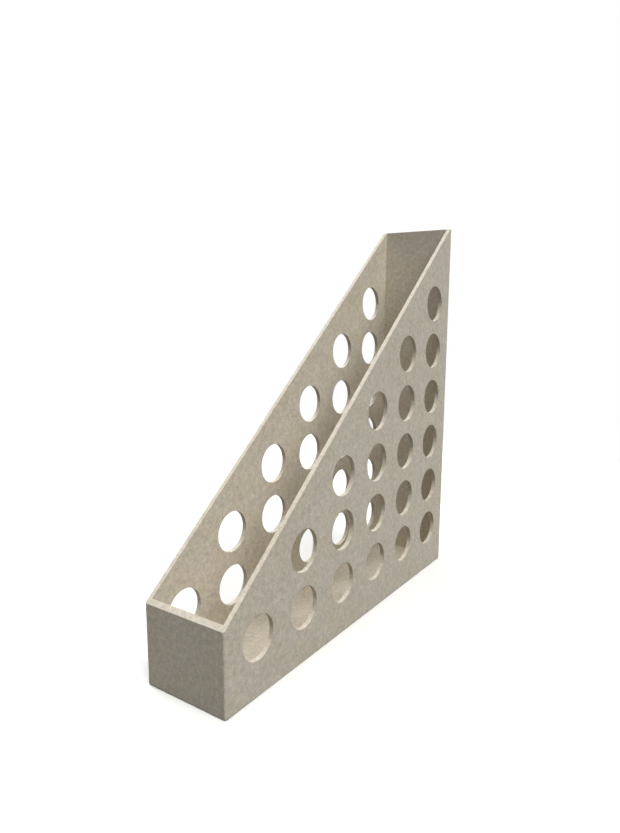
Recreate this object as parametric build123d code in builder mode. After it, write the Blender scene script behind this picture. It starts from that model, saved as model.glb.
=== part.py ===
from build123d import *
import math
import os

# Driving dimensions in millimetres. X is the width, Y runs from the front to the back and Z is up.
# The origin is on the underside, in the middle of the footprint.
LENGTH = 230.0
WIDTH = 50.0
BACK_HEIGHT = 231.0
FRONT_HEIGHT = 42.0
WALL = 2.4  # side, front and back panels
BASE_THICKNESS = 2.4
CORNER_RADIUS = 1.0  # the four upright outer corners
RIM_RADIUS = 0.3  # outer edge of the rim
FOOT_RADIUS = 0.6  # outer edge of the foot

# Holes in the side panels
HOLE_DIAMETER = 22.5
COLUMN_PITCH = 36.7  # from one column to the next, front to back
FOOT_MARGIN = 18.4  # plate below the lowest row
PLATE_MARGIN = 11.0  # least plate between a hole and the rim or an upright edge
HOLE_WEB = 6.0  # least plate between two holes of one column

# Hidden joints between the panels
FIT_CLEARANCE = 0.1  # left around a tongue on every side but its shoulder
TONGUE_STOP = 5.0  # length left plain at each end of a joint, so that no tongue shows at the rim
TONGUE_SHARE = 1 / 3  # thickness of a tongue, as a share of the panel that carries it
GROOVE_SHARE = 1 / 2  # depth of a groove, as a share of the wall that it is cut into

# Places that follow from them. The rim slopes from the front's outer face to the back's inner face.
outer_x = WIDTH / 2
outer_y = LENGTH / 2
inner_x = outer_x - WALL
inner_y = outer_y - WALL
rim_slope = (BACK_HEIGHT - FRONT_HEIGHT) / (inner_y + outer_y)
rim_angle = math.atan(rim_slope)
rim_plane = Plane(
    origin=(0, -outer_y, FRONT_HEIGHT),
    x_dir=(1, 0, 0),
    z_dir=(0, -math.sin(rim_angle), math.cos(rim_angle)),
)
wall_tongue = WALL * TONGUE_SHARE
base_tongue = BASE_THICKNESS * TONGUE_SHARE
groove_depth = WALL * GROOVE_SHARE
tongue_depth = groove_depth - FIT_CLEARANCE


def rim_height(y):
    """Height of the rim at a distance y from the middle of the rack: a slope, then level on the back."""
    return min(FRONT_HEIGHT + rim_slope * (y + outer_y), BACK_HEIGHT)


def hole_centres():
    """Centres (y, z) of the holes: columns stand on one level and fill the plate up to the rim.

    Rows rise by as much as the rim does from column to column, so the top holes run parallel to it.
    """
    column_count = math.floor((LENGTH - HOLE_DIAMETER - 2 * PLATE_MARGIN) / COLUMN_PITCH) + 1
    row_pitch = max(COLUMN_PITCH * rim_slope, HOLE_DIAMETER + HOLE_WEB)
    lowest = FOOT_MARGIN + HOLE_DIAMETER / 2
    rim_drop = (HOLE_DIAMETER / 2 + PLATE_MARGIN) / math.cos(rim_angle)
    centres = []
    for column in range(column_count):
        y = COLUMN_PITCH * (column - (column_count - 1) / 2)
        row_count = math.floor((rim_height(y) - rim_drop - lowest) / row_pitch) + 1
        centres += [(y, lowest + row * row_pitch) for row in range(row_count)]
    return centres


def upright_joint(side):
    """Middle (y, z) and size of the tongue at each end of the front (-1) or back (1) panel."""
    top = min(rim_height(side * inner_y), rim_height(side * outer_y))
    return (side * (outer_y - WALL / 2), top / 2), (wall_tongue, top - 2 * TONGUE_STOP)


# Tongues that enter each side panel, as middle (y, z) and size: front, back and base
side_joints = [
    upright_joint(-1),
    upright_joint(1),
    ((0, BASE_THICKNESS / 2), (2 * (inner_y - TONGUE_STOP), base_tongue)),
]

# Right side panel: flat plate under the sloped rim, pierced by the holes and grooved on its inner face
with BuildPart() as right_side_panel:
    with BuildSketch(Plane.YZ.offset(inner_x)):
        with BuildLine():
            Polyline(
                (-outer_y, 0),
                (outer_y, 0),
                (outer_y, BACK_HEIGHT),
                (inner_y, BACK_HEIGHT),
                (-outer_y, FRONT_HEIGHT),
                close=True,
            )
        make_face()
    extrude(amount=WALL)
    fillet(edges().filter_by(Axis.Z).group_by(Axis.X)[-1], CORNER_RADIUS)
    # Each rounding starts from a face's outermost edge and runs on round the upright corners
    rim = [faces().filter_by(rim_plane)[0], faces().sort_by(Axis.Z)[-1]]
    fillet([face.edges().sort_by(Axis.X)[-1] for face in rim], RIM_RADIUS)
    foot = faces().sort_by(Axis.Z)[0]
    fillet(foot.edges().sort_by(Axis.X)[-1], FOOT_RADIUS)
    with BuildSketch(Plane.YZ.offset(inner_x)):
        with Locations(*hole_centres()):
            Circle(HOLE_DIAMETER / 2)
    extrude(amount=WALL, mode=Mode.SUBTRACT)
    with BuildSketch(Plane.YZ.offset(inner_x)):
        for middle, (y_size, z_size) in side_joints:
            with Locations(middle):
                Rectangle(y_size + 2 * FIT_CLEARANCE, z_size + 2 * FIT_CLEARANCE)
    extrude(amount=groove_depth, mode=Mode.SUBTRACT)

# Left side panel: the right one mirrored
with BuildPart() as left_side_panel:
    mirror(right_side_panel.part, about=Plane.YZ)


def end_panel(side):
    """Front (-1) or back (1) panel between the sides, as high as the rim is there."""
    outside = side * outer_y
    inside = side * inner_y
    with BuildPart() as panel:
        with BuildSketch(Plane.YZ):
            with BuildLine():
                Polyline(
                    (outside, 0),
                    (inside, 0),
                    (inside, rim_height(inside)),
                    (outside, rim_height(outside)),
                    close=True,
                )
            make_face()
        extrude(amount=inner_x, both=True)
        outer_edges = edges().filter_by(Axis.X).group_by(Axis.Y)[0 if side < 0 else -1]
        foot_edge, rim_edge = outer_edges.sort_by(Axis.Z)
        fillet(rim_edge, RIM_RADIUS)
        fillet(foot_edge, FOOT_RADIUS)
        with BuildSketch(Plane.YZ):
            middle, size = upright_joint(side)
            with Locations(middle):
                Rectangle(*size)
        extrude(amount=inner_x + tongue_depth, both=True)
        with BuildSketch(Plane.XZ.offset(-inside)):
            with Locations((0, BASE_THICKNESS / 2)):
                Rectangle(2 * (inner_x - TONGUE_STOP + FIT_CLEARANCE), base_tongue + 2 * FIT_CLEARANCE)
        extrude(amount=-side * groove_depth, mode=Mode.SUBTRACT)
    return panel


front_panel = end_panel(-1)
back_panel = end_panel(1)

# Base panel: floor between the four walls, with a tongue on every side
with BuildPart() as base_panel:
    with BuildSketch():
        Rectangle(2 * inner_x, 2 * inner_y)
    extrude(amount=BASE_THICKNESS)
    with BuildSketch(Plane.XY.offset(BASE_THICKNESS / 2)):
        Rectangle(2 * (inner_x + tongue_depth), 2 * (inner_y - TONGUE_STOP))
        Rectangle(2 * (inner_x - TONGUE_STOP), 2 * (inner_y + tongue_depth))
    extrude(amount=base_tongue / 2, both=True)

os.makedirs("parts", exist_ok=True)
panels = {
    "left_side_panel": left_side_panel,
    "right_side_panel": right_side_panel,
    "front_panel": front_panel,
    "back_panel": back_panel,
    "base_panel": base_panel,
}
for name, panel in panels.items():
    panel.part.label = name
    export_step(panel.part, f"parts/{name}.step")
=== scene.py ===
import math

import bpy
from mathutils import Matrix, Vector

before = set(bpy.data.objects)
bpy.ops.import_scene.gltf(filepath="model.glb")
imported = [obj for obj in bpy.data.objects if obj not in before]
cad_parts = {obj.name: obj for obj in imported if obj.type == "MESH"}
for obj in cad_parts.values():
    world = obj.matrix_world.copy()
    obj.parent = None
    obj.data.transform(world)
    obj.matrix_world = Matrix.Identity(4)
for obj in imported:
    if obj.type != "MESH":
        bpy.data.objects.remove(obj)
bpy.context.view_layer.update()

MM = 0.001  # metres in a millimetre

# Viewing angle, fitted to the rack's corners, rims and holes in an image of 620 by 833 pixels
CAMERA_PLACE = (0.20148, -0.30538, 0.18098)  # metres
CAMERA_TURN = (80.200, -0.187, 34.741)  # degrees about X, Y and Z
CAMERA_LENS = 27.881  # millimetres
CAMERA_SENSOR = 36.0  # millimetres, on the image's long side

# Stone-speckled plastic. Its real grains are finer than half a millimetre, about a pixel here, so the
# grain and the flecks are drawn a few times as coarse to show.
STONE_GREY = "#CFC8B9"
ROSY_DRIFT = "#FFFBFD"  # the two drifts are faint tints that multiply the grey
SANDY_DRIFT = "#FCFCF5"
ROSY_DRIFT_SIZE = 14.0 * MM
SANDY_DRIFT_SIZE = 22.0 * MM
DRIFT_DETAIL = 4.0  # sizes of noise below the largest, each half of the one before
DRIFT_RANGE = (0.4, 0.6)  # noise values that take none and all of a tint
GRAIN_SIZE = 2.4 * MM
GRAIN_DETAIL = 3.0  # sizes of noise below the largest, each half of the one before
GRAIN_RANGE = (0.25, 0.75)  # noise values of the darkest and the palest grain
GRAIN_CONTRAST = 0.28  # share that the darkest grain takes off the grey, and the palest adds to it
NOISE_ROUGHNESS = 0.9  # strength of each size of noise, as a share of the one before
DARK_FLECK = "#6B665C"
PALE_FLECK = "#EFEADE"
DARK_FLECK_SPACING = 3.4 * MM
PALE_FLECK_SPACING = 2.6 * MM
DARK_FLECK_STRENGTH = 0.45
PALE_FLECK_STRENGTH = 0.4
FLECK_SIZE = 1.2 * MM
FLECK_WEIGHTS = (0.45, 0.75)  # random values of a cell whose fleck is missing and whose fleck is full
PLASTIC_ROUGHNESS = (0.55, 0.75)  # at grain noise of 0 and 1, so that pale grains are the duller ones
PLASTIC_DIFFUSE_ROUGHNESS = 0.1  # a matte skin, which evens its shading a little
PLASTIC_IOR = 1.46  # typical of such plastics
TOOTH_SIZE = 0.5 * MM
TOOTH_DEPTH = 0.008 * MM

# Studio: each softbox has its place and the length of its side in metres, and its power in watts
SOFTBOXES = {
    "ceiling_softbox": ((0, -0.3, 5.0), 3.8, 158.0),
    "right_softbox": ((3.4, -0.9, 4.1), 2.9, 208.0),
    "back_left_softbox": ((-3.8, 2.1, 3.5), 2.9, 154.0),
}
LIGHT_AIM = Vector((0, 0, 0.1))  # a point inside the rack, in metres
AMBIENT = 0.11  # strength of the backdrop as a lamp, which is 1 where it shows
BACKDROP_WHITE = "#FFFFFF"
FLOOR_WHITE = "#FAFAF8"
FLOOR_BOUNCE = "#5C5B58"  # grey that the floor throws back at the rack
FLOOR_HALF = 0.5  # metres from the floor's middle to its sides
FLOOR_DROP = 0.1 * MM  # gap under the rack, so that floor and foot never share a plane

# Curve of sRGB: a straight foot for the darkest levels, and a power above it
SRGB_FOOT_END = 0.04045
SRGB_FOOT_DIVISOR = 12.92
SRGB_OFFSET = 0.055
SRGB_POWER = 2.4


def linear(hex_colour):
    """Linear RGBA of an sRGB hex colour, level by level along the curve of sRGB, with a full alpha."""
    levels = [int(hex_colour[i:i + 2], 16) / 255 for i in (1, 3, 5)]
    rgb = [
        level / SRGB_FOOT_DIVISOR
        if level <= SRGB_FOOT_END
        else ((level + SRGB_OFFSET) / (1 + SRGB_OFFSET)) ** SRGB_POWER
        for level in levels
    ]
    return rgb + [1.0]


def add_node(tree, kind, inputs, **settings):
    """Add a node with its settings and give its outputs by name.

    An input is named, or numbered where names repeat. It is given a value, or a node's output to link to.
    """
    node = tree.nodes.new(kind)
    for name, value in settings.items():
        setattr(node, name, value)
    sockets = {socket.name: socket for socket in node.inputs if socket.enabled}
    for key, value in inputs.items():
        socket = node.inputs[key] if isinstance(key, int) else sockets[key]
        if isinstance(value, bpy.types.NodeSocket):
            tree.links.new(value, socket)
        else:
            socket.default_value = value
    return {socket.name: socket for socket in node.outputs if socket.enabled}


def empty_tree(owner):
    """Node tree of a material or a world, with no nodes in it."""
    owner.use_nodes = True
    owner.node_tree.nodes.clear()
    return owner.node_tree


def flecks(tree, place, spacing, size):
    """Share of fleck at each point: 1 up to half of the fleck's radius, then fading to 0 at its edge.

    Each scattered cell has one fleck about its point. The cell's random colour weighs the fleck, so that
    about half of them show, in different strengths.
    """
    cells = add_node(tree, "ShaderNodeTexVoronoi", {"Vector": place, "Scale": 1 / spacing})
    radius = size / 2 / spacing
    heart = add_node(
        tree,
        "ShaderNodeMapRange",
        {
            "Value": cells["Distance"],
            "From Min": radius / 2,
            "From Max": radius,
            "To Min": 1.0,
            "To Max": 0.0,
        },
    )["Result"]
    missing, full = FLECK_WEIGHTS
    weight = add_node(
        tree, "ShaderNodeMapRange", {"Value": cells["Color"], "From Min": missing, "From Max": full}
    )["Result"]
    return add_node(tree, "ShaderNodeMath", {0: heart, 1: weight}, operation="MULTIPLY")["Value"]


def stone_speckled_plastic():
    """Matte plastic with a mineral fill, as moulded: dull warm grey, peppered with dark and pale grains."""
    material = bpy.data.materials.new("stone_speckled_plastic")
    tree = empty_tree(material)
    place = add_node(tree, "ShaderNodeTexCoord", {})["Object"]

    # Slow drift of the grey towards rosy and sandy tints, each by itself
    colour = linear(STONE_GREY)
    none, whole = DRIFT_RANGE
    for drift, size in ((ROSY_DRIFT, ROSY_DRIFT_SIZE), (SANDY_DRIFT, SANDY_DRIFT_SIZE)):
        cloud = add_node(
            tree,
            "ShaderNodeTexNoise",
            {"Vector": place, "Scale": 1 / size, "Detail": DRIFT_DETAIL, "Roughness": NOISE_ROUGHNESS},
        )["Fac"]
        share = add_node(
            tree, "ShaderNodeMapRange", {"Value": cloud, "From Min": none, "From Max": whole}
        )["Result"]
        colour = add_node(
            tree,
            "ShaderNodeMix",
            {"Factor": share, "A": colour, "B": linear(drift)},
            data_type="RGBA",
            blend_type="MULTIPLY",
        )["Result"]

    # Grain in four sizes, each half as large as the one before
    grain = add_node(
        tree,
        "ShaderNodeTexNoise",
        {
            "Vector": place,
            "Scale": 1 / GRAIN_SIZE,
            "Detail": GRAIN_DETAIL,
            "Roughness": NOISE_ROUGHNESS,
        },
    )["Fac"]
    darkest, palest = GRAIN_RANGE
    shade = add_node(
        tree,
        "ShaderNodeMapRange",
        {
            "Value": grain,
            "From Min": darkest,
            "From Max": palest,
            "To Min": 1 - GRAIN_CONTRAST,
            "To Max": 1 + GRAIN_CONTRAST,
        },
    )["Result"]
    colour = add_node(
        tree,
        "ShaderNodeMix",
        {"Factor": 1.0, "A": colour, "B": shade},
        data_type="RGBA",
        blend_type="MULTIPLY",
    )["Result"]

    # Single flecks that stand out from the grain
    for fleck, spacing, strength in (
        (DARK_FLECK, DARK_FLECK_SPACING, DARK_FLECK_STRENGTH),
        (PALE_FLECK, PALE_FLECK_SPACING, PALE_FLECK_STRENGTH),
    ):
        share = add_node(
            tree,
            "ShaderNodeMath",
            {0: flecks(tree, place, spacing, FLECK_SIZE), 1: strength},
            operation="MULTIPLY",
        )["Value"]
        colour = add_node(
            tree,
            "ShaderNodeMix",
            {"Factor": share, "A": colour, "B": linear(fleck)},
            data_type="RGBA",
        )["Result"]

    # Dull skin with the faint tooth of a matte mould
    smoothest, roughest = PLASTIC_ROUGHNESS
    roughness = add_node(
        tree, "ShaderNodeMapRange", {"Value": grain, "To Min": smoothest, "To Max": roughest}
    )["Result"]
    tooth = add_node(tree, "ShaderNodeTexNoise", {"Vector": place, "Scale": 1 / TOOTH_SIZE})["Fac"]
    relief = add_node(
        tree, "ShaderNodeBump", {"Strength": 1.0, "Distance": TOOTH_DEPTH, "Height": tooth}
    )["Normal"]
    shader = add_node(
        tree,
        "ShaderNodeBsdfPrincipled",
        {
            "Base Color": colour,
            "Roughness": roughness,
            "Diffuse Roughness": PLASTIC_DIFFUSE_ROUGHNESS,
            "IOR": PLASTIC_IOR,
            "Normal": relief,
        },
    )["BSDF"]
    add_node(tree, "ShaderNodeOutputMaterial", {"Surface": shader})
    return material


def softbox(name, place, side, watts):
    """Square area lamp at a place, turned to face the rack."""
    lamp = bpy.data.lights.new(name, "AREA")
    lamp.size = side
    lamp.energy = watts
    holder = bpy.data.objects.new(name, lamp)
    holder.location = place
    holder.rotation_euler = (LIGHT_AIM - Vector(place)).to_track_quat("-Z", "Y").to_euler()
    bpy.context.scene.collection.objects.link(holder)


def on_show(tree):
    """1 on rays that show a surface, straight or in gloss or glass, and 0 on rays that light the rack."""
    ray = add_node(tree, "ShaderNodeLightPath", {})
    shows = ray["Is Camera Ray"]
    for kind in ("Is Glossy Ray", "Is Transmission Ray"):
        shows = add_node(tree, "ShaderNodeMath", {0: shows, 1: ray[kind]}, operation="MAXIMUM")["Value"]
    return shows


def white_studio():
    """World that shows as plain white and adds some even light."""
    world = bpy.data.worlds.new("studio")
    tree = empty_tree(world)
    strength = add_node(
        tree, "ShaderNodeMapRange", {"Value": on_show(tree), "To Min": AMBIENT, "To Max": 1.0}
    )["Result"]
    backdrop = add_node(
        tree, "ShaderNodeBackground", {"Color": linear(BACKDROP_WHITE), "Strength": strength}
    )["Background"]
    add_node(tree, "ShaderNodeOutputWorld", {"Surface": backdrop})
    return world


def pale_floor():
    """Matte floor that shows as near white and keeps the shadow, but throws little light back up."""
    material = bpy.data.materials.new("pale_floor")
    tree = empty_tree(material)
    colour = add_node(
        tree,
        "ShaderNodeMix",
        {"Factor": on_show(tree), "A": linear(FLOOR_BOUNCE), "B": linear(FLOOR_WHITE)},
        data_type="RGBA",
    )["Result"]
    surface = add_node(tree, "ShaderNodeBsdfDiffuse", {"Color": colour})["BSDF"]
    add_node(tree, "ShaderNodeOutputMaterial", {"Surface": surface})

    signs = [(-1, -1), (1, -1), (1, 1), (-1, 1)]
    corners = [(x * FLOOR_HALF, y * FLOOR_HALF, -FLOOR_DROP) for x, y in signs]
    mesh = bpy.data.meshes.new("floor")
    mesh.from_pydata(corners, [], [(0, 1, 2, 3)])
    mesh.materials.append(material)
    floor = bpy.data.objects.new("floor", mesh)
    bpy.context.scene.collection.objects.link(floor)
    return floor


def fitted_camera():
    """Camera at the fitted viewing angle."""
    lens = bpy.data.cameras.new("camera")
    lens.sensor_width = CAMERA_SENSOR
    lens.lens = CAMERA_LENS
    camera = bpy.data.objects.new("camera", lens)
    camera.location = CAMERA_PLACE
    camera.rotation_euler = [math.radians(angle) for angle in CAMERA_TURN]
    bpy.context.scene.collection.objects.link(camera)
    return camera


plastic = stone_speckled_plastic()
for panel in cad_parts.values():
    panel.data.materials.clear()
    panel.data.materials.append(plastic)

scene = bpy.context.scene
for name, (place, side, watts) in SOFTBOXES.items():
    softbox(name, place, side, watts)
scene.world = white_studio()
pale_floor()
scene.camera = fitted_camera()
scene.view_settings.view_transform = "Standard"
